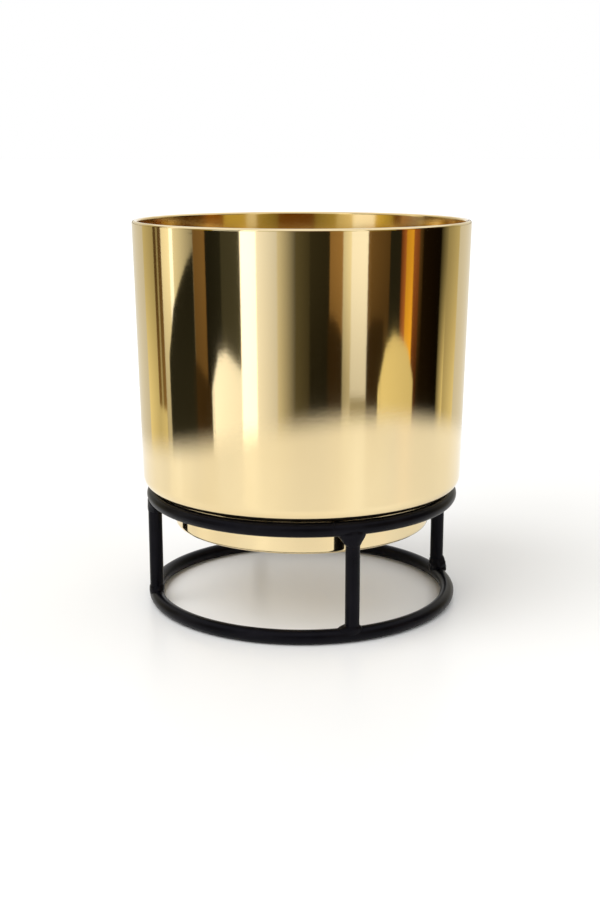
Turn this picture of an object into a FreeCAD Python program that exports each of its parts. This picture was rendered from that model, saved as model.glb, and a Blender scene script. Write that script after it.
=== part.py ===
import FreeCAD, Part
import math
import os

# A plant pot of thin polished sheet in a low stand of black rod. The pot's shoulder rests on the
# stand's upper ring, and its narrower foot drops through that ring without reaching the floor.
# Lengths are in millimetres and turns in degrees. +Z is up, and the origin is on the floor at
# the middle of both rings. The front leg stands on the -Y side, and turns run anticlockwise
# from it, seen from above.

# Whole object
overall_height = 220.0

# Stand: one size of rod for the rings and the legs
rod_diameter = 8.0
stand_height = 67.5
leg_notch = 0.5
leg_turns = {"front": 0.0, "right": 88.0, "back": 180.0, "left": 264.0}

# Butt welds that close the two rings, ground flush with the rod
seam_width = 1.2
upper_seam_turn = -7.5
lower_seam_turn = 188.0

# Fillet welds at the ends of the legs
top_weld_spread = 3.3
top_weld_reach = 5.5
foot_weld_spread = 2.0
foot_weld_reach = 3.2
weld_skin = 0.4

# Each row of a weld's outline is a height, a spread and a skin, as shares of the weld's reach
# down the leg, its spread along the ring and its skin beyond the rod
leg_end_shares = ((1.0, 0.05, 0.3), (0.5, 0.45, 0.7), (0.0, 0.9, 1.0))
# The same on the ring's side of the joint, with the height as a share of the rod's radius
ring_end_shares = ((0.5, 1.0, 0.9), (0.9, 0.8, -0.3))
weld_outline_points = 16

# Pot: one spun shell of sheet, whose wall narrows from the rim to the shoulder
rim_diameter = 190.0
wall_taper = 2.9
sheet_thickness = 1.0
shoulder_rounding = 8.3
neck_rounding = 1.5
foot_drop = 21.5
foot_edge_rounding = 2.5

# Pot rim: the sheet flares out a little, then folds in over itself and down inside, as a hem
rim_proud = 0.2
rim_flare_angle = 8.0
rim_flare_rounding_share = 0.7
rim_straight = 0.4
roll_gap = 0.8
roll_lip = 11.6

# Fit of the pot in its stand
body_overhang = 1.6
foot_clearance = 8.2
seat_clearance = 0.25

# No edge of the pot's section is shorter than this
shortest_edge = 0.001

# Places that follow from these sizes
rim_radius = rim_diameter / 2
body_base_radius = rim_radius - wall_taper
rod_radius = rod_diameter / 2
ring_radius = body_base_radius - body_overhang - rod_radius
foot_radius = ring_radius - rod_radius - foot_clearance
lower_ring_height = rod_radius
upper_ring_height = stand_height - rod_radius
seam_sweep = math.degrees(seam_width / ring_radius)

# The shoulder's rounding rests on the rod, circle on circle, with the seat clearance between
shoulder_centre_radius = body_base_radius - shoulder_rounding
seat_distance = shoulder_rounding + seat_clearance + rod_radius
seat_offset = ring_radius - shoulder_centre_radius
shoulder_centre_height = upper_ring_height + math.sqrt(seat_distance ** 2 - seat_offset ** 2)
shoulder_height = shoulder_centre_height - shoulder_rounding
foot_height = shoulder_height - foot_drop

# The hem's fold is half round, and the flare under it blends into the wall and the fold
roll_rounding = roll_gap / 2 + sheet_thickness
roll_width = roll_rounding * 2
roll_depth = roll_rounding + roll_lip
rim_flare = math.radians(rim_flare_angle)
flare_length = rim_proud / math.sin(rim_flare)
flare_rounding = rim_flare_rounding_share * flare_length / 2 / math.tan(rim_flare / 2)
flare_top_height = overall_height - roll_rounding - rim_straight - flare_rounding * math.tan(rim_flare / 2)

# The wall runs straight from the shoulder's rounding to the flare
wall_top_radius = rim_radius - rim_proud
wall_top_height = flare_top_height - flare_length * math.cos(rim_flare)
wall_run = wall_top_radius - shoulder_centre_radius
wall_rise = wall_top_height - shoulder_centre_height
wall_lean = math.atan2(wall_run, wall_rise) - math.asin(shoulder_rounding / math.hypot(wall_run, wall_rise))
shoulder_corner_radius = wall_top_radius - (wall_top_height - shoulder_height) * math.tan(wall_lean)

# The outside of the sheet from the middle of the foot to the hem's edge: for each corner of
# the section, its distance from the axis, its height and its rounding
sheet_corners = [
    (0.0, foot_height, 0.0),
    (foot_radius, foot_height, foot_edge_rounding),
    (foot_radius, shoulder_height, neck_rounding),
    (shoulder_corner_radius, shoulder_height, shoulder_rounding),
    (wall_top_radius, wall_top_height, flare_rounding),
    (rim_radius, flare_top_height, flare_rounding),
    (rim_radius, overall_height, roll_rounding),
    (rim_radius - roll_width, overall_height, roll_rounding),
    (rim_radius - roll_width, overall_height - roll_depth, 0.0),
]

origin = FreeCAD.Vector(0, 0, 0)
up = FreeCAD.Vector(0, 0, 1)


def direction(start, end):
    """Return the unit direction from one corner of a section to another."""
    run = end[0] - start[0]
    rise = end[1] - start[1]
    length = math.hypot(run, rise)
    return run / length, rise / length


def inside_corners(corners, thickness):
    """Return the corners on the other side of a sheet, which lies to the left of the given path."""
    inside = []
    for index, (radius, height, rounding) in enumerate(corners):
        before = corners[max(index - 1, 0)]
        after = corners[min(index + 1, len(corners) - 1)]
        here = (radius, height)
        arrive = direction(before, here) if index > 0 else direction(here, after)
        leave = direction(here, after) if index < len(corners) - 1 else arrive
        normal_run = -(arrive[1] + leave[1])
        normal_rise = arrive[0] + leave[0]
        reach = thickness / (1 + arrive[0] * leave[0] + arrive[1] * leave[1])
        turns_left = arrive[0] * leave[1] - arrive[1] * leave[0] > 0
        inner_rounding = rounding - thickness if turns_left else rounding + thickness
        if rounding == 0:
            inner_rounding = 0
        inside.append((radius + normal_run * reach, height + normal_rise * reach, max(inner_rounding, 0)))
    return inside


def rounded_face(corners):
    """Return the flat face, in the XZ plane, of a closed outline whose corners are rounded."""
    starts = []
    middles = []
    ends = []
    for index, (radius, height, rounding) in enumerate(corners):
        corner = FreeCAD.Vector(radius, 0, height)
        before = corners[index - 1]
        after = corners[(index + 1) % len(corners)]
        back = FreeCAD.Vector(before[0], 0, before[1]).sub(corner).normalize()
        ahead = FreeCAD.Vector(after[0], 0, after[1]).sub(corner).normalize()
        half_angle = back.getAngle(ahead) / 2
        cut = rounding / math.tan(half_angle)
        bisector = back.add(ahead).normalize()
        nearest = rounding / math.sin(half_angle) - rounding
        starts.append(corner.add(back.multiply(cut)))
        middles.append(corner.add(bisector.multiply(nearest)))
        ends.append(corner.add(ahead.multiply(cut)))
    edges = []
    for index, (radius, height, rounding) in enumerate(corners):
        if rounding > 0:
            edges.append(Part.Arc(starts[index], middles[index], ends[index]).toShape())
        following = (index + 1) % len(corners)
        if ends[index].distanceToPoint(starts[following]) > shortest_edge:
            edges.append(Part.LineSegment(ends[index], starts[following]).toShape())
    return Part.Face(Part.Wire(edges))


def make_pot():
    """Return the pot: the sheet's section turned once round the axis."""
    inside = inside_corners(sheet_corners, sheet_thickness)
    section = rounded_face(sheet_corners + inside[::-1])
    return section.revolve(origin, up, 360)


def ring_stretch(height, start_turn, sweep):
    """Return a stretch of ring rod, swept anticlockwise from a turn."""
    centre = FreeCAD.Vector(0, -ring_radius, height)
    circle = Part.makeCircle(rod_radius, centre, FreeCAD.Vector(1, 0, 0))
    stretch = Part.Face(Part.Wire(circle)).revolve(origin, up, sweep)
    stretch.rotate(origin, up, start_turn)
    return stretch


def make_ring(height, seam_turn):
    """Return a ring of rod, open by the width of its butt weld."""
    return ring_stretch(height, seam_turn + seam_sweep / 2, 360 - seam_sweep)


def make_seam(height, seam_turn):
    """Return the butt weld that closes a ring."""
    return ring_stretch(height, seam_turn - seam_sweep / 2, seam_sweep)


def whole_ring(height):
    """Return the full round of a ring, for notching what meets it."""
    return Part.makeTorus(ring_radius, rod_radius, FreeCAD.Vector(0, 0, height), up)


def make_leg(turn):
    """Return an upright leg, whose ends are notched over the two rings."""
    base_height = lower_ring_height + rod_radius - leg_notch
    top_height = upper_ring_height - rod_radius + leg_notch
    base = FreeCAD.Vector(0, -ring_radius, base_height)
    leg = Part.makeCylinder(rod_radius, top_height - base_height, base, up)
    leg = leg.cut(whole_ring(lower_ring_height)).cut(whole_ring(upper_ring_height))
    leg.rotate(origin, up, turn)
    return leg


def weld_section(height, half_along, half_across):
    """Return a closed smooth outline round the front leg, wider along the ring than across it."""
    points = []
    for index in range(weld_outline_points):
        angle = 2 * math.pi * index / weld_outline_points
        along = half_along * math.cos(angle)
        across = half_across * math.sin(angle)
        points.append(FreeCAD.Vector(along, across - ring_radius, height))
    curve = Part.BSplineCurve()
    curve.interpolate(Points=points, PeriodicFlag=True)
    return Part.Wire(curve.toShape())


def make_weld(turn, ring_height, ring_side, spread, reach):
    """Return the weld round one end of a leg; ring_side is 1 where the ring is above the leg."""
    joint_height = ring_height - ring_side * rod_radius
    rows = [(-reach * share[0], share[1], share[2]) for share in leg_end_shares]
    rows += [(rod_radius * share[0], share[1], share[2]) for share in ring_end_shares]
    sections = []
    for rise, spread_share, skin_share in rows:
        half_along = rod_radius + spread * spread_share
        half_across = rod_radius + weld_skin * skin_share
        sections.append(weld_section(joint_height + ring_side * rise, half_along, half_across))
    weld = Part.makeLoft(sections, True)
    weld.rotate(origin, up, turn)
    return weld.cut(make_leg(turn)).cut(whole_ring(ring_height))


def export(shape, node):
    """Write one node's solids to its own file."""
    shape.exportStep("parts/" + node + ".step")
    print(node, len(shape.Solids), "solid", round(shape.Volume, 2), "valid", shape.isValid())


os.makedirs("parts", exist_ok=True)

export(make_pot(), "pot")
export(make_ring(upper_ring_height, upper_seam_turn), "upper_ring")
export(make_seam(upper_ring_height, upper_seam_turn), "upper_ring_seam")
export(make_ring(lower_ring_height, lower_seam_turn), "lower_ring")
export(make_seam(lower_ring_height, lower_seam_turn), "lower_ring_seam")
for side, turn in leg_turns.items():
    export(make_leg(turn), side + "_leg")
    export(make_weld(turn, upper_ring_height, 1, top_weld_spread, top_weld_reach), side + "_top_weld")
    export(make_weld(turn, lower_ring_height, -1, foot_weld_spread, foot_weld_reach), side + "_foot_weld")
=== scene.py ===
import math

import bpy
from mathutils import Matrix, Vector, noise


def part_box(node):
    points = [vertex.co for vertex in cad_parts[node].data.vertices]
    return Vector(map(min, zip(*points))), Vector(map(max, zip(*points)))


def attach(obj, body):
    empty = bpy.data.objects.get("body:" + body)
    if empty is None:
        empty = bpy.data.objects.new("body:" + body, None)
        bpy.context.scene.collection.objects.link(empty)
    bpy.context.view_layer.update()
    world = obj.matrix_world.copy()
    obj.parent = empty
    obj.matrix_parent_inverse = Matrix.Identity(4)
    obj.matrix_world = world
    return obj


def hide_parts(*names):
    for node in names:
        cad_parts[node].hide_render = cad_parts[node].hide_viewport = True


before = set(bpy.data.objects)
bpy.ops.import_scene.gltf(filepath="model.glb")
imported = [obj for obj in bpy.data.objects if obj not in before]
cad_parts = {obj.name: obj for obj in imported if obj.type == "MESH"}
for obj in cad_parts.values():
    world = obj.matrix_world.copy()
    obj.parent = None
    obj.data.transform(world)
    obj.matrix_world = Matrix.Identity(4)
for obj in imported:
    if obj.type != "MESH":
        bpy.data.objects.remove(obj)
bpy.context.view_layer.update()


# LOWER RING
# A length of 8 mm mild steel rod, rolled to a circle, which stands on the floor. It is welded up
# with the rest of the stand, and the whole stand is then powder coated satin black.

lower_low, lower_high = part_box("lower_ring")
rod_radius = (lower_high.z - lower_low.z) / 2
ring_radius = lower_high.x - rod_radius
lower_height = lower_low.z + rod_radius
seam_width = 0.0012
seam_sweep = seam_width / ring_radius
rod_sides = 40
ring_steps = 288
crisp_edge = math.radians(50)
doubles_distance = 0.000001

# Where in a noise the drift from one tone to another starts and ends, and how fine the noise is
drift_start = 0.35
drift_end = 0.65
drift_detail = 3
gloss_detail = 2

coat_black = (0.0016, 0.0015, 0.0024, 1)
coat_bloom = (0.0034, 0.0032, 0.0048, 1)
coat_mirror = 0.09
coat_sheen = (0.90, 0.88, 1.0, 1)
coat_gloss_roughness = 0.24
coat_dull_roughness = 0.34
coat_patch_scale = 70
coat_peel_scale = 620
coat_peel_depth = 0.000035
coat_peel_detail = 1
coat_speck_scale = 2600
coat_speck_depth = 0.000006
coat_speck_detail = 0


def add_node(material, kind, **values):
    """Add a shader node, and set the named values on it or on its inputs."""
    node = material.node_tree.nodes.new(kind)
    for name, value in values.items():
        if hasattr(node, name):
            setattr(node, name, value)
        else:
            node.inputs[name.replace("_", " ").title()].default_value = value
    return node


def new_material(name):
    """Return an empty node material, its surface shader and its object coordinates."""
    material = bpy.data.materials.new(name)
    material.use_nodes = True
    surface = material.node_tree.nodes["Principled BSDF"]
    coordinates = add_node(material, "ShaderNodeTexCoord")
    return material, surface, coordinates.outputs["Object"]


def blend_by_noise(material, place, scale, first, second):
    """Return a colour that drifts between two, in soft patches."""
    patches = add_node(material, "ShaderNodeTexNoise", scale=scale, detail=drift_detail)
    ramp = add_node(material, "ShaderNodeValToRGB")
    ramp.color_ramp.elements[0].position = drift_start
    ramp.color_ramp.elements[0].color = first
    ramp.color_ramp.elements[1].position = drift_end
    ramp.color_ramp.elements[1].color = second
    material.node_tree.links.new(place, patches.inputs["Vector"])
    material.node_tree.links.new(patches.outputs["Fac"], ramp.inputs["Fac"])
    return ramp.outputs["Color"]


def spread_roughness(material, place, scale, low, high):
    """Return a roughness that drifts between two values, in soft patches."""
    patches = add_node(material, "ShaderNodeTexNoise", scale=scale, detail=gloss_detail)
    spread = add_node(material, "ShaderNodeMapRange")
    spread.inputs["To Min"].default_value = low
    spread.inputs["To Max"].default_value = high
    material.node_tree.links.new(place, patches.inputs["Vector"])
    material.node_tree.links.new(patches.outputs["Fac"], spread.inputs["Value"])
    return spread.outputs["Result"]


def add_bump(material, height, depth, below=None):
    """Return a normal that is dented by a height, on top of another bump if one is given."""
    bump = add_node(material, "ShaderNodeBump")
    bump.inputs["Distance"].default_value = depth
    material.node_tree.links.new(height, bump.inputs["Height"])
    if below is not None:
        material.node_tree.links.new(below, bump.inputs["Normal"])
    return bump.outputs["Normal"]


def make_powder_coat():
    """Satin black powder coat: a fine orange peel, small specks, and a gloss that drifts."""
    material, surface, place = new_material("black_powder_coat")
    links = material.node_tree.links
    colour = blend_by_noise(material, place, coat_patch_scale, coat_black, coat_bloom)
    gloss = spread_roughness(
        material, place, coat_patch_scale, coat_gloss_roughness, coat_dull_roughness)
    peel = add_node(
        material, "ShaderNodeTexNoise", scale=coat_peel_scale, detail=coat_peel_detail)
    specks = add_node(
        material, "ShaderNodeTexNoise", scale=coat_speck_scale, detail=coat_speck_detail)
    links.new(place, peel.inputs["Vector"])
    links.new(place, specks.inputs["Vector"])
    peeled = add_bump(material, peel.outputs["Fac"], coat_peel_depth)
    specked = add_bump(material, specks.outputs["Fac"], coat_speck_depth, peeled)
    links.new(colour, surface.inputs["Base Color"])
    links.new(gloss, surface.inputs["Roughness"])
    links.new(specked, surface.inputs["Normal"])
    surface.inputs["Specular IOR Level"].default_value = coat_mirror
    surface.inputs["Specular Tint"].default_value = coat_sheen
    return material


powder_coat = make_powder_coat()


def turn_of(node):
    """Return how far round the stand a node sits, anticlockwise from the front leg."""
    low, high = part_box(node)
    middle = (low + high) / 2
    return math.atan2(middle.x, -middle.y)


def close_and_face_out():
    """Merge what a spin left double, and point every face of the piece outwards."""
    bpy.ops.object.mode_set(mode="EDIT")
    bpy.ops.mesh.select_all(action="SELECT")
    bpy.ops.mesh.remove_doubles(threshold=doubles_distance)
    bpy.ops.mesh.normals_make_consistent(inside=False)
    bpy.ops.object.mode_set(mode="OBJECT")


def set_in_stand(piece, name, node):
    """Fix a finished piece of the stand in its place, coated black."""
    bpy.ops.object.transform_apply(location=True, rotation=True, scale=True)
    bpy.ops.object.shade_smooth_by_angle(angle=crisp_edge)
    piece.name = name
    piece.data.materials.append(powder_coat)
    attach(piece, "stand")
    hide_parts(node)


def roll_rod(height, start_turn, sweep, steps):
    """Return a stretch of ring, spun from one round section of rod."""
    bpy.ops.object.select_all(action="DESELECT")
    bpy.ops.mesh.primitive_circle_add(
        vertices=rod_sides, radius=rod_radius, fill_type="NGON",
        location=(0, -ring_radius, height), rotation=(0, math.pi / 2, 0))
    piece = bpy.context.object
    bpy.ops.object.transform_apply(location=True, rotation=True, scale=True)
    bpy.ops.object.mode_set(mode="EDIT")
    bpy.ops.mesh.select_all(action="SELECT")
    bpy.ops.mesh.spin(steps=steps, angle=-sweep, center=(0, 0, 0), axis=(0, 0, 1))
    bpy.ops.object.mode_set(mode="OBJECT")
    close_and_face_out()
    piece.rotation_euler.z = start_turn
    return piece


rod_sweep = 2 * math.pi - seam_sweep
lower_seam_turn = turn_of("lower_ring_seam")
lower_rod = roll_rod(lower_height, lower_seam_turn + seam_sweep / 2, rod_sweep, ring_steps)
set_in_stand(lower_rod, "lower_ring_rod", "lower_ring")


# UPPER RING
# The same rod rolled to the same circle. The pot's shoulder sits on it, and the four legs carry
# it from below.

_, upper_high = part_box("upper_ring")
upper_height = upper_high.z - rod_radius
upper_seam_turn = turn_of("upper_ring_seam")
upper_rod = roll_rod(upper_height, upper_seam_turn + seam_sweep / 2, rod_sweep, ring_steps)
set_in_stand(upper_rod, "upper_ring_rod", "upper_ring")


# RING SEAMS
# The butt welds that close the two rings. They are ground back to the rod, but a slight crown is
# left on the side that the grinder doesn't reach, and shows through the coat.

seam_steps = 6
seam_crown = 0.00035

# For each ring: its seam's height and turn, and which side of the rod the crown is left on,
# upwards from the outer side
seams = {
    "lower": (lower_height, lower_seam_turn, math.radians(15)),
    "upper": (upper_height, upper_seam_turn, math.radians(55)),
}


def crown_seam(piece, height, facing):
    """Swell the middle of a seam on the side that it faces, and let it run out at both ends."""
    for vertex in piece.data.vertices:
        place = vertex.co
        along = math.atan2(place.x, -place.y)
        spoke = Vector((math.sin(along), -math.cos(along), 0))
        from_core = place - spoke * ring_radius - Vector((0, 0, height))
        side = math.atan2(from_core.z, from_core.dot(spoke))
        near_middle = math.cos(math.pi * (along - seam_sweep / 2) / seam_sweep)
        near_side = max(math.cos(side - facing), 0) ** 2
        place += from_core.normalized() * seam_crown * near_side * max(near_middle, 0)


for level, (height, turn, facing) in seams.items():
    seam = roll_rod(height, turn - seam_sweep / 2, seam_sweep, seam_steps)
    crown_seam(seam, height, facing)
    set_in_stand(seam, level + "_ring_seam_bead", level + "_ring_seam")


# LEGS
# Four upright lengths of the same rod between the rings. Each is cropped to length and pushed
# square against the rings, and the welds hide its ends.

leg_sides = 48
leg_runs = 12
leg_unevenness = 0.00005
leg_unevenness_scale = 60
leg_names = ("front", "right", "back", "left")


def crop_leg(side):
    """Return an upright rod between the rings, with slightly uneven sides."""
    low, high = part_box(side + "_leg")
    run = (0, 0, (high.z - low.z) / leg_runs)
    bpy.ops.object.select_all(action="DESELECT")
    bpy.ops.mesh.primitive_circle_add(
        vertices=leg_sides, radius=rod_radius, fill_type="NGON",
        location=(0, -ring_radius, low.z))
    piece = bpy.context.object
    bpy.ops.object.transform_apply(location=True, rotation=True, scale=True)
    bpy.ops.object.mode_set(mode="EDIT")
    bpy.ops.mesh.select_all(action="SELECT")
    for _ in range(leg_runs):
        bpy.ops.mesh.extrude_region_move(TRANSFORM_OT_translate={"value": run})
    bpy.ops.object.mode_set(mode="OBJECT")
    close_and_face_out()

    # The noise runs from -1 to 1, and is shifted so that it only ever makes the rod thinner
    axis = Vector((0, -ring_radius, 0))
    offset = Vector((len(side), 0, 0))
    for vertex in piece.data.vertices:
        outward = Vector((vertex.co.x, vertex.co.y, 0)) - axis
        shift = noise.noise(vertex.co * leg_unevenness_scale + offset) - 1
        vertex.co += outward.normalized() * leg_unevenness * shift
    piece.rotation_euler.z = turn_of(side + "_leg")
    return piece


for side in leg_names:
    set_in_stand(crop_leg(side), side + "_leg_rod", side + "_leg")


# WELDS
# A bead of filler at each end of each leg. At the top it is drawn out into two flat gussets in
# the corners under the ring, and at the foot it is smaller and lumpy. All are left unground.

# For each weld: how far it runs along the ring to the left and to the right of the leg, how far
# it climbs the leg, and how far a lump stands out from the leg, away from the pot
weld_sizes = {
    "front_top": (0.0047, 0.0037, 0.0060, 0.0),
    "right_top": (0.0038, 0.0042, 0.0052, 0.0002),
    "back_top": (0.0040, 0.0044, 0.0056, 0.0),
    "left_top": (0.0040, 0.0034, 0.0048, 0.0),
    "front_foot": (0.0050, 0.0018, 0.0015, 0.0002),
    "right_foot": (0.0022, 0.0026, 0.0075, 0.0021),
    "back_foot": (0.0024, 0.0030, 0.0032, 0.0004),
    "left_foot": (0.0020, 0.0016, 0.0026, 0.0002),
}
weld_sides = 20
weld_skin = 0.0004
weld_lump = 0.00022
weld_lump_scale = 420
weld_lump_share = 1 / 5
weld_lump_sink = 0.2
weld_smoothing = 2

# Rows of the bead along the leg, with the height as a share of the climb, and then round the ring,
# with the height as a share of the rod's radius. The spread, the skin and the lump follow, each
# as a share of its own size.
weld_leg_shares = (
    (1.0, -0.05, -0.4, 0.0),
    (0.93, 0.06, 0.5, 0.10),
    (0.7, 0.27, 0.8, 0.35),
    (0.35, 0.62, 1.0, 0.75),
    (0.0, 0.97, 1.0, 1.0),
)
weld_ring_shares = (
    (0.35, 1.0, 0.9, 1.0),
    (0.7, 0.9, 0.3, 0.8),
    (1.0, 0.6, -0.8, 0.4),
)


def lay_weld(side, end):
    """Return the bead at one end of a leg, extruded row by row and then drawn to its shape."""
    left, right, climb, lump = weld_sizes[side + "_" + end]
    up = 1 if end == "top" else -1
    joint_height = upper_height - rod_radius if end == "top" else lower_height + rod_radius
    rows = [(-climb * row[0], *row[1:]) for row in weld_leg_shares]
    rows += [(rod_radius * row[0], *row[1:]) for row in weld_ring_shares]
    bpy.ops.object.select_all(action="DESELECT")
    bpy.ops.mesh.primitive_circle_add(vertices=weld_sides, radius=rod_radius, fill_type="NGON")
    piece = bpy.context.object
    bpy.ops.object.mode_set(mode="EDIT")
    bpy.ops.mesh.select_all(action="SELECT")
    for _ in rows[1:]:
        bpy.ops.mesh.extrude_region_move(TRANSFORM_OT_translate={"value": (0, 0, rod_radius)})
    bpy.ops.object.mode_set(mode="OBJECT")
    for vertex in piece.data.vertices:
        rise, spread, skin, stand_out = rows[round(vertex.co.z / rod_radius)]
        along = vertex.co.x / rod_radius
        across = vertex.co.y / rod_radius
        reach = right if along > 0 else left
        outward = lump * stand_out if across < 0 else 0
        vertex.co.x = along * (rod_radius + reach * spread)
        vertex.co.y = across * (rod_radius + weld_skin * skin + outward) - ring_radius
        vertex.co.z = joint_height + up * rise
    piece.rotation_euler.z = turn_of(side + "_leg")
    bpy.ops.object.transform_apply(location=True, rotation=True, scale=True)
    bpy.ops.object.modifier_add(type="SUBSURF")
    piece.modifiers[-1].levels = weld_smoothing
    piece.modifiers[-1].render_levels = weld_smoothing
    bpy.ops.object.modifier_apply(modifier=piece.modifiers[-1].name)
    close_and_face_out()

    # Small lumps all over, larger on a bead with a large lump, and kept clear of the floor
    for vertex in piece.data.vertices:
        swell = noise.noise(vertex.co * weld_lump_scale) - weld_lump_sink
        vertex.co += vertex.normal * (weld_lump + lump * weld_lump_share) * swell
        vertex.co.z = max(vertex.co.z, lower_low.z + weld_skin)
    return piece


for side in leg_names:
    for end in ("top", "foot"):
        set_in_stand(lay_weld(side, end), side + "_" + end + "_bead", side + "_" + end + "_weld")


# POT
# One disc of 1 mm brass sheet, spun over a former into a straight-sided pot with a rounded
# shoulder and a narrower foot. Its edge is folded in and down as a hem, and it is polished all
# over.

pot_low, pot_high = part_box("pot")
sheet = 0.001
rim_radius = pot_high.x
rim_height = pot_high.z
foot_height = pot_low.z
foot_drop = 0.0215
foot_radius = 0.0743
foot_edge_rounding = 0.0025
neck_rounding = 0.0015
shoulder_height = foot_height + foot_drop
shoulder_rounding = 0.0083
wall_taper = 0.0029
body_base_radius = rim_radius - wall_taper

# The wall flares out by a hair under the rim, runs straight up for a little, and then folds over
# and down inside, where the hem leans in. The inside's rougher finish, with its colour darkened as
# painted shade, starts past the fold.
rim_proud = 0.00005
rim_flare = math.radians(2)
flare_rounding = 0.0280
rim_straight = 0.0004
roll_rounding = 0.0014
roll_depth = 0.0130
hem_lean = 0.0008
hem_shaded_inside_start = 0.00252

# How the section is divided: along straight runs, which have a point close to each end unless
# they are short, and round the arcs. A very short run parts the two arcs of the hem's fold.
wall_division = 0.008
tight_loop = 0.0003
short_run = 4 * tight_loop
arc_step = math.radians(4)
fewest_arc_steps = 3
fold_run = 0.000003
pot_sides = 256

brass_gold = (0.88, 0.725, 0.435, 1)
brass_deep = (0.85, 0.68, 0.385, 1)
# The inside's two colours are the same brass darkened: painted shade for the inside of the pot
shaded_inside_gold = (0.76, 0.58, 0.29, 1)
shaded_inside_deep = (0.72, 0.53, 0.25, 1)
brass_patch_scale = 9
polish_low_roughness = 0.045
polish_high_roughness = 0.075
inside_low_roughness = 0.10
inside_high_roughness = 0.14
polish_patch_scale = 25
wave_scale = 26
wave_depth = 0.000016
wave_detail = 1
grain_scale = 520
grain_depth = 0.0000022
grain_detail = 1
lathe_line_scale = 520
lathe_line_depth = 0.0000014
lathe_line_detail = 3


def make_brass(name, deep, gold, low_roughness, high_roughness):
    """Polished brass: a faint drift of tone, lathe lines round the pot, and slow waves."""
    material, surface, place = new_material(name)
    links = material.node_tree.links
    surface.inputs["Metallic"].default_value = 1
    colour = blend_by_noise(material, place, brass_patch_scale, deep, gold)
    gloss = spread_roughness(material, place, polish_patch_scale, low_roughness, high_roughness)

    # The lines run round the axis, so they change only with the height and the radius
    split = add_node(material, "ShaderNodeSeparateXYZ")
    flat = add_node(material, "ShaderNodeCombineXYZ")
    radius = add_node(material, "ShaderNodeVectorMath", operation="LENGTH")
    profile = add_node(material, "ShaderNodeMath", operation="ADD")
    lines = add_node(
        material, "ShaderNodeTexNoise", noise_dimensions="1D",
        scale=lathe_line_scale, detail=lathe_line_detail)
    links.new(place, split.inputs["Vector"])
    links.new(split.outputs["X"], flat.inputs["X"])
    links.new(split.outputs["Y"], flat.inputs["Y"])
    links.new(flat.outputs["Vector"], radius.inputs[0])
    links.new(split.outputs["Z"], profile.inputs[0])
    links.new(radius.outputs["Value"], profile.inputs[1])
    links.new(profile.outputs["Value"], lines.inputs["W"])

    waves = add_node(material, "ShaderNodeTexNoise", scale=wave_scale, detail=wave_detail)
    grain = add_node(material, "ShaderNodeTexNoise", scale=grain_scale, detail=grain_detail)
    links.new(place, waves.inputs["Vector"])
    links.new(place, grain.inputs["Vector"])
    waved = add_bump(material, waves.outputs["Fac"], wave_depth)
    grained = add_bump(material, grain.outputs["Fac"], grain_depth, waved)
    lined = add_bump(material, lines.outputs["Fac"], lathe_line_depth, grained)
    links.new(colour, surface.inputs["Base Color"])
    links.new(gloss, surface.inputs["Roughness"])
    links.new(lined, surface.inputs["Normal"])
    return material


def round_corner(before, corner, after, rounding):
    """Return the points of the arc that rounds one corner of the sheet's section."""
    if rounding == 0:
        return [corner]
    back = (before - corner).normalized()
    ahead = (after - corner).normalized()
    half_angle = back.angle(ahead) / 2
    centre = corner + (back + ahead).normalized() * rounding / math.sin(half_angle)
    start = corner + back * rounding / math.tan(half_angle) - centre
    turn = math.pi - 2 * half_angle
    turns_left = ahead.x * back.y - ahead.y * back.x > 0
    steps = max(fewest_arc_steps, round(turn / arc_step))
    swing = turn / steps if turns_left else -turn / steps
    return [centre + Matrix.Rotation(swing * index, 2) @ start for index in range(steps + 1)]


def divide_run(start, end):
    """Return points along a straight run, close together where it meets the roundings."""
    run = end - start
    if run.length < short_run:
        return []
    step = run.normalized()
    middle = run.length - 2 * tight_loop
    count = max(1, round(middle / wall_division))
    return [start + step * (tight_loop + middle * index / count) for index in range(count + 1)]


def section_of_sheet():
    """Return the outside of the sheet as points, from the middle of the foot to the hem's edge."""
    flare_length = rim_proud / math.sin(rim_flare)
    flare_cut = flare_rounding * math.tan(rim_flare / 2)
    flare_top = rim_height - roll_rounding - rim_straight - flare_cut
    flare_base = flare_top - flare_length * math.cos(rim_flare)
    wall_top_radius = rim_radius - rim_proud
    wall_rise = flare_base - shoulder_height - shoulder_rounding
    wall_lean = (wall_top_radius - body_base_radius) / wall_rise
    shoulder_radius = wall_top_radius - (flare_base - shoulder_height) * wall_lean
    hem_radius = rim_radius - 2 * roll_rounding
    corners = [
        (Vector((0, foot_height)), 0),
        (Vector((foot_radius, foot_height)), foot_edge_rounding),
        (Vector((foot_radius, shoulder_height)), neck_rounding),
        (Vector((shoulder_radius, shoulder_height)), shoulder_rounding),
        (Vector((wall_top_radius, flare_base)), flare_rounding),
        (Vector((rim_radius, flare_top)), flare_rounding),
        (Vector((rim_radius, rim_height)), roll_rounding),
        (Vector((hem_radius, rim_height)), roll_rounding - fold_run),
        (Vector((hem_radius - hem_lean, rim_height - roll_depth)), 0),
    ]
    points = []
    for index, (corner, rounding) in enumerate(corners):
        before = corners[max(index - 1, 0)][0]
        after = corners[min(index + 1, len(corners) - 1)][0]
        arc = round_corner(before, corner, after, rounding)
        if points:
            points += divide_run(points[-1], arc[0])
        points += arc
    return points


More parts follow.
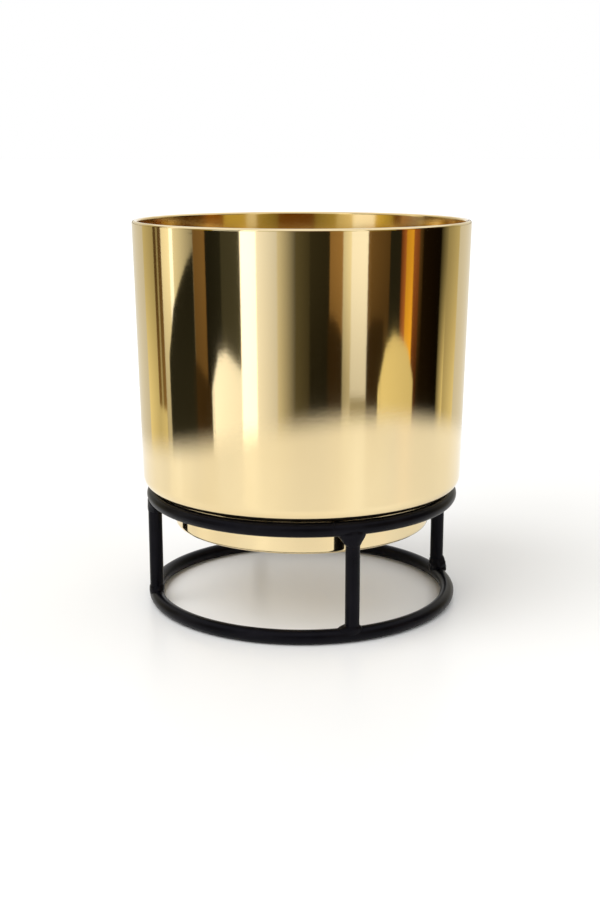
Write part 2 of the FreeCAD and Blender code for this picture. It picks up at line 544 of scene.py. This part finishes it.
def spin_pot():
    """Return the pot: the sheet's section spun once round, then given its thickness."""
    points = section_of_sheet()
    bpy.ops.object.select_all(action="DESELECT")
    bpy.ops.mesh.primitive_plane_add(size=sheet, location=(points[0].x, 0, points[0].y))
    piece = bpy.context.object
    bpy.ops.object.transform_apply(location=True, rotation=True, scale=True)
    bpy.ops.object.mode_set(mode="EDIT")
    bpy.ops.mesh.select_all(action="SELECT")
    bpy.ops.mesh.merge(type="CENTER")
    for here, following in zip(points, points[1:]):
        step = following - here
        bpy.ops.mesh.extrude_region_move(TRANSFORM_OT_translate={"value": (step.x, 0, step.y)})
    bpy.ops.mesh.select_all(action="SELECT")
    bpy.ops.mesh.spin(steps=pot_sides, angle=2 * math.pi, center=(0, 0, 0), axis=(0, 0, 1))
    bpy.ops.object.mode_set(mode="OBJECT")
    close_and_face_out()
    bpy.ops.object.modifier_add(type="SOLIDIFY")
    wall = piece.modifiers[-1]
    wall.thickness = sheet
    wall.offset = -1
    wall.use_even_offset = True
    wall.material_offset = 1
    wall.material_offset_rim = 0
    bpy.ops.object.modifier_apply(modifier=wall.name)
    bpy.ops.object.shade_smooth_by_angle(angle=crisp_edge)

    # The hem folds the outside of the sheet into the pot, where it takes the inside's rougher
    # finish and its darkened colour, which is painted shade
    for face in piece.data.polygons:
        in_hem = face.center.z > rim_height - roll_depth
        from_rim = rim_radius - math.hypot(face.center.x, face.center.y)
        if in_hem and from_rim > hem_shaded_inside_start:
            face.material_index = 1
    return piece


pot_shell = spin_pot()
pot_shell.name = "pot_shell"
outside_brass = make_brass(
    "polished_brass", brass_deep, brass_gold, polish_low_roughness, polish_high_roughness)
# The inside: the same brass, a little rougher, with its colour darkened as painted shade
inside_brass = make_brass(
    "brass_inside_shaded", shaded_inside_deep, shaded_inside_gold, inside_low_roughness, inside_high_roughness)
pot_shell.data.materials.append(outside_brass)
pot_shell.data.materials.append(inside_brass)
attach(pot_shell, "pot")
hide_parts("pot")


# FLOOR
# A pale, slightly glossy table top under the stand, on a plain matt floor that runs to the
# horizon. Past the table's soft edge, polished metal mirrors the studio cards and not that floor.

table_radius = 0.72
table_fade_start = 0.46
table_fade_end = 0.59
table_middle = (0.035, -0.065, 0)
floor_radius = 40
floor_sink = 0.0003
floor_white = (0.85, 0.85, 0.845, 1)
floor_shade = (0.82, 0.82, 0.815, 1)
floor_patch_scale = 3
floor_roughness = 0.34
floor_mirror = 0
table_mirror = 0.42
floor_sides = 128


def make_floor_paint(name, mirror):
    """A pale surface, which mirrors a little or not at all."""
    material, surface, place = new_material(name)
    colour = blend_by_noise(material, place, floor_patch_scale, floor_shade, floor_white)
    material.node_tree.links.new(colour, surface.inputs["Base Color"])
    surface.inputs["Roughness"].default_value = floor_roughness
    surface.inputs["Specular IOR Level"].default_value = mirror
    return material


def fade_out_edge(material):
    """Let a surface run out softly, past a distance from a middle."""
    links = material.node_tree.links
    place = add_node(material, "ShaderNodeTexCoord")
    shift = add_node(material, "ShaderNodeVectorMath", operation="SUBTRACT")
    distance = add_node(material, "ShaderNodeVectorMath", operation="LENGTH")
    fade = add_node(material, "ShaderNodeMapRange", interpolation_type="SMOOTHSTEP")
    shift.inputs[1].default_value = table_middle
    fade.inputs["From Min"].default_value = table_fade_start
    fade.inputs["From Max"].default_value = table_fade_end
    fade.inputs["To Min"].default_value = 1
    fade.inputs["To Max"].default_value = 0
    links.new(place.outputs["Object"], shift.inputs[0])
    links.new(shift.outputs["Vector"], distance.inputs[0])
    links.new(distance.outputs["Value"], fade.inputs["Value"])
    links.new(fade.outputs["Result"], material.node_tree.nodes["Principled BSDF"].inputs["Alpha"])


def lay_disc(name, radius, height, paint):
    """Return a flat round of floor."""
    bpy.ops.object.select_all(action="DESELECT")
    bpy.ops.mesh.primitive_circle_add(
        vertices=floor_sides, radius=radius, fill_type="NGON", location=(0, 0, height))
    disc = bpy.context.object
    disc.name = name
    disc.data.materials.append(paint)
    return disc


table_paint = make_floor_paint("table_paint", table_mirror)
fade_out_edge(table_paint)
table_top = lay_disc("table_top", table_radius, 0, table_paint)
table_top.visible_shadow = False
table_top.visible_diffuse = False
floor_paint = make_floor_paint("floor_paint", floor_mirror)
outer_floor = lay_disc("outer_floor", floor_radius, -floor_sink, floor_paint)
outer_floor.visible_glossy = False


# STUDIO CARDS
# Tall curved cards hung round the table, unseen by the camera, that give the polished brass
# something to mirror: white and cream ones for its bright bands, near-black and brown ones for
# the dark bands between them.

card_distance = 1.5
card_foot = -0.9
card_head = 1.0
card_divisions = 16
card_dim_height = -0.20
card_full_height = 0.08
view_azimuth = math.radians(-18.2)

white = (1.0, 1.0, 1.0)
ivory = (1.0, 0.96, 0.84)
cream = (1.0, 0.93, 0.70)
umber = (1.0, 0.58, 0.20)
amber = (1.0, 0.52, 0.05)
rust = (1.0, 0.33, 0.10)
olive = (1.0, 0.95, 0.60)
honey = (1.0, 0.86, 0.45)
gold = (1.0, 0.76, 0.16)
brown = (1.0, 0.37, 0.02)

# Each card's span in degrees to the right of the camera, its tint, how bright it is at each side
# of the span, and how much brighter or darker it is low down than high up
cards = (
    (-191, -169, white, 1.0, 1.0, 1.0),
    (-169, -130, ivory, 0.86, 0.63, 1.04),
    (-130, -114, honey, 0.60, 0.40, 1.5),
    (-114, -110.5, umber, 0.09, 0.09, 2.0),
    (-110.5, -108.5, honey, 0.34, 0.34, 1.2),
    (-108.5, -104.5, umber, 0.10, 0.12, 2.0),
    (-104.5, -95.5, cream, 0.95, 1.15, 0.55),
    (-95.5, -92, white, 1.6, 1.6, 0.5),
    (-92, -74, cream, 0.88, 0.30, 0.9),
    (-74, -64.5, umber, 0.17, 0.22, 0.7),
    (-64.5, -53, olive, 0.012, 0.02, 1.0),
    (-53, -39.5, olive, 0.05, 0.06, 1.0),
    (-39.5, -29, white, 2.15, 2.0, 1.0),
    (-29, -15.5, white, 1.10, 0.72, 1.0),
    (-15.5, -4, cream, 0.70, 0.10, 1.0),
    (-4, 5, honey, 0.10, 0.05, 1.0),
    (5, 17.5, honey, 0.035, 0.025, 0.5),
    (17.5, 26, umber, 0.28, 0.36, 0.4),
    (26, 31.5, cream, 0.72, 1.05, 0.5),
    (31.5, 42.5, white, 1.15, 1.2, 0.65),
    (42.5, 45.5, umber, 0.22, 0.15, 0.4),
    (45.5, 58, umber, 0.15, 0.09, 0.4),
    (58, 66.5, olive, 0.018, 0.018, 1.0),
    (66.5, 70.5, rust, 0.12, 0.40, 1.5),
    (70.5, 76.5, amber, 0.60, 0.80, 1.5),
    (76.5, 81.5, rust, 0.34, 0.20, 0.3),
    (81.5, 85, umber, 0.10, 0.03, 0.3),
    (85, 103, umber, 0.010, 0.004, 1.0),
    (103, 111, honey, 0.03, 0.26, 3.2),
    (111, 128, honey, 0.32, 0.56, 1.5),
    (128, 169, ivory, 0.66, 0.86, 1.03),
)


def make_card_light(name, tint, start, end, low_share):
    """A surface whose glow changes from one side to the other, and from high up to low down."""
    material = bpy.data.materials.new(name)
    material.use_nodes = True
    material.node_tree.nodes.clear()
    links = material.node_tree.links
    place = add_node(material, "ShaderNodeTexCoord")
    split_across = add_node(material, "ShaderNodeSeparateXYZ")
    split_height = add_node(material, "ShaderNodeSeparateXYZ")
    spread = add_node(material, "ShaderNodeMapRange")
    dim = add_node(material, "ShaderNodeMapRange", interpolation_type="SMOOTHSTEP")
    strength = add_node(material, "ShaderNodeMath", operation="MULTIPLY")
    glow = add_node(material, "ShaderNodeEmission", Color=(*tint, 1))
    output = add_node(material, "ShaderNodeOutputMaterial")
    spread.inputs["To Min"].default_value = start
    spread.inputs["To Max"].default_value = end
    dim.inputs["From Min"].default_value = card_dim_height
    dim.inputs["From Max"].default_value = card_full_height
    dim.inputs["To Min"].default_value = low_share
    dim.inputs["To Max"].default_value = 1
    links.new(place.outputs["UV"], split_across.inputs["Vector"])
    links.new(place.outputs["Object"], split_height.inputs["Vector"])
    links.new(split_across.outputs["X"], spread.inputs["Value"])
    links.new(split_height.outputs["Z"], dim.inputs["Value"])
    links.new(spread.outputs["Result"], strength.inputs[0])
    links.new(dim.outputs["Result"], strength.inputs[1])
    links.new(strength.outputs["Value"], glow.inputs["Strength"])
    links.new(glow.outputs["Emission"], output.inputs["Surface"])
    return material


def top_line(heights):
    """Return the height at a share of a card's width, between heights at even steps."""
    def height_at(across):
        step = min(int(across * (len(heights) - 1)), len(heights) - 2)
        past = across * (len(heights) - 1) - step
        return heights[step] + (heights[step + 1] - heights[step]) * past
    return height_at


def hang_card(name, start, end, tint, start_glow, end_glow, low_share, distance, foot, heights):
    """Hang one card, bent round the table from one turn to another, seen only in reflections."""
    bpy.ops.object.select_all(action="DESELECT")
    bpy.ops.mesh.primitive_grid_add(
        x_subdivisions=card_divisions, y_subdivisions=card_divisions, size=1)
    card = bpy.context.object
    head = top_line(heights)
    for vertex in card.data.vertices:
        across = vertex.co.x + 1 / 2
        upwards = vertex.co.y + 1 / 2
        turn = view_azimuth + math.radians(start + (end - start) * across)
        height = foot + (head(across) - foot) * upwards
        vertex.co = (distance * math.sin(turn), -distance * math.cos(turn), height)
    card.name = name
    card.data.materials.append(make_card_light(name, tint, start_glow, end_glow, low_share))
    card.visible_camera = False
    card.visible_diffuse = False
    card.visible_shadow = False


for index, row in enumerate(cards):
    hang_card("card_%d" % index, *row, card_distance, card_foot, (card_head, card_head))

# High cards in front of the tall ones, above what the outside of the pot mirrors, which only the
# inside of the hem mirrors: each one's span, tint, glow at each side and height of its top. They
# glow as much low down as high up.
high_card_distance = 1.45
high_card_foot = 0.235
high_card_low_share = 1.0
high_cards = (
    (-168, -97, brown, 0.07, 0.05, 0.29),
    (-97, -81, brown, 0.10, 0.42, 0.31),
    (-81, -74, brown, 0.14, 0.16, 0.40),
    (-74, -58, gold, 0.38, 0.90, 0.45),
    (-58, -40, white, 1.38, 1.42, 0.45),
    (-40, -27, honey, 0.95, 0.66, 0.45),
    (-27, -10, gold, 0.46, 0.24, 0.45),
    (-10, 18, brown, 0.14, 0.16, 0.45),
    (18, 35, gold, 0.22, 0.45, 0.45),
    (35, 43, cream, 0.90, 0.85, 0.45),
    (43, 62, gold, 0.62, 0.60, 0.45),
    (62, 77, brown, 0.25, 0.28, 0.40),
    (77, 97, brown, 0.13, 0.08, 0.31),
    (97, 180, brown, 0.08, 0.06, 0.29),
)

for index, (*row, head) in enumerate(high_cards):
    hang_card(
        "high_card_%d" % index, *row, high_card_low_share,
        high_card_distance, high_card_foot, (head, head))

# Low cards in front of the tall ones: pale humps before the black ones, and dark ones before the
# pale ones. Each one's top is given as heights at even steps across it.
low_card_distance = 1.4
low_cards = {
    "left_hump": (-61.5, -39.5, white, 1.4, 1.15, 1.0, (-0.15, -0.095, -0.09, -0.105, -0.12)),
    "right_hump": (51, 79, honey, 0.92, 0.72, 1.0, (-0.15, -0.08, -0.06, -0.066, -0.080, -0.13)),
    "pale_foot": (31.5, 42.5, honey, 0.27, 0.25, 1.0, (-0.165, -0.165)),
    "umber_foot": (-77, -60, umber, 0.05, 0.04, 1.0, (-0.09, -0.12, -0.15)),
    "left_glow": (-114, -104.5, honey, 0.60, 0.75, 1.0, (-0.165, -0.175)),
    "sloping_flag": (-99.5, -74, olive, 0.016, 0.016, 1.5, (-0.09, -0.012, 0.02, 0.05, 0.07)),
    "middle_shade": (16.5, 26, umber, 0.03, 0.03, 1.0, (-0.04, -0.04, -0.05, -0.07)),
    "right_shade": (42.5, 54, umber, 0.04, 0.03, 1.0, (-0.06, -0.04, -0.04, -0.04)),
}

for name, (*row, heights) in low_cards.items():
    hang_card(name, *row, low_card_distance, card_foot, heights)


# LIGHT AND CAMERA
# An even white room, with one very soft light from the upper left, and a long lens just above
# the height of the rim, which looks a little down on the pot.

room_white = (1, 1, 1, 1)
room_brightness = 1.0
key_brightness = 1.45
key_softness = math.radians(48)
key_tilt = math.radians(38)
key_turn = math.radians(-75)
camera_lens = 51.88
camera_pitch = math.radians(12.97)
camera_distance = 0.740
camera_height = 0.2572
camera_aside = -0.00096
bounces = 32

world = bpy.data.worlds.new("room")
bpy.context.scene.world = world
world.use_nodes = True
background = world.node_tree.nodes["Background"]
background.inputs["Color"].default_value = room_white
background.inputs["Strength"].default_value = room_brightness

key_light = bpy.data.lights.new("key", "SUN")
key_light.energy = key_brightness
key_light.angle = key_softness
key = bpy.data.objects.new("key", key_light)
key.rotation_euler = (key_tilt, 0, key_turn)
key.visible_glossy = False
bpy.context.scene.collection.objects.link(key)

camera_data = bpy.data.cameras.new("camera")
camera_data.lens = camera_lens
camera = bpy.data.objects.new("camera", camera_data)
camera.rotation_euler = (math.pi / 2 - camera_pitch, 0, view_azimuth)
camera_place = Vector((camera_aside, -camera_distance, camera_height))
camera.location = Matrix.Rotation(view_azimuth, 3, "Z") @ camera_place
bpy.context.scene.collection.objects.link(camera)
bpy.context.scene.camera = camera

bpy.context.scene.view_settings.view_transform = "Standard"
bpy.context.scene.cycles.max_bounces = bounces
bpy.context.scene.cycles.glossy_bounces = bounces
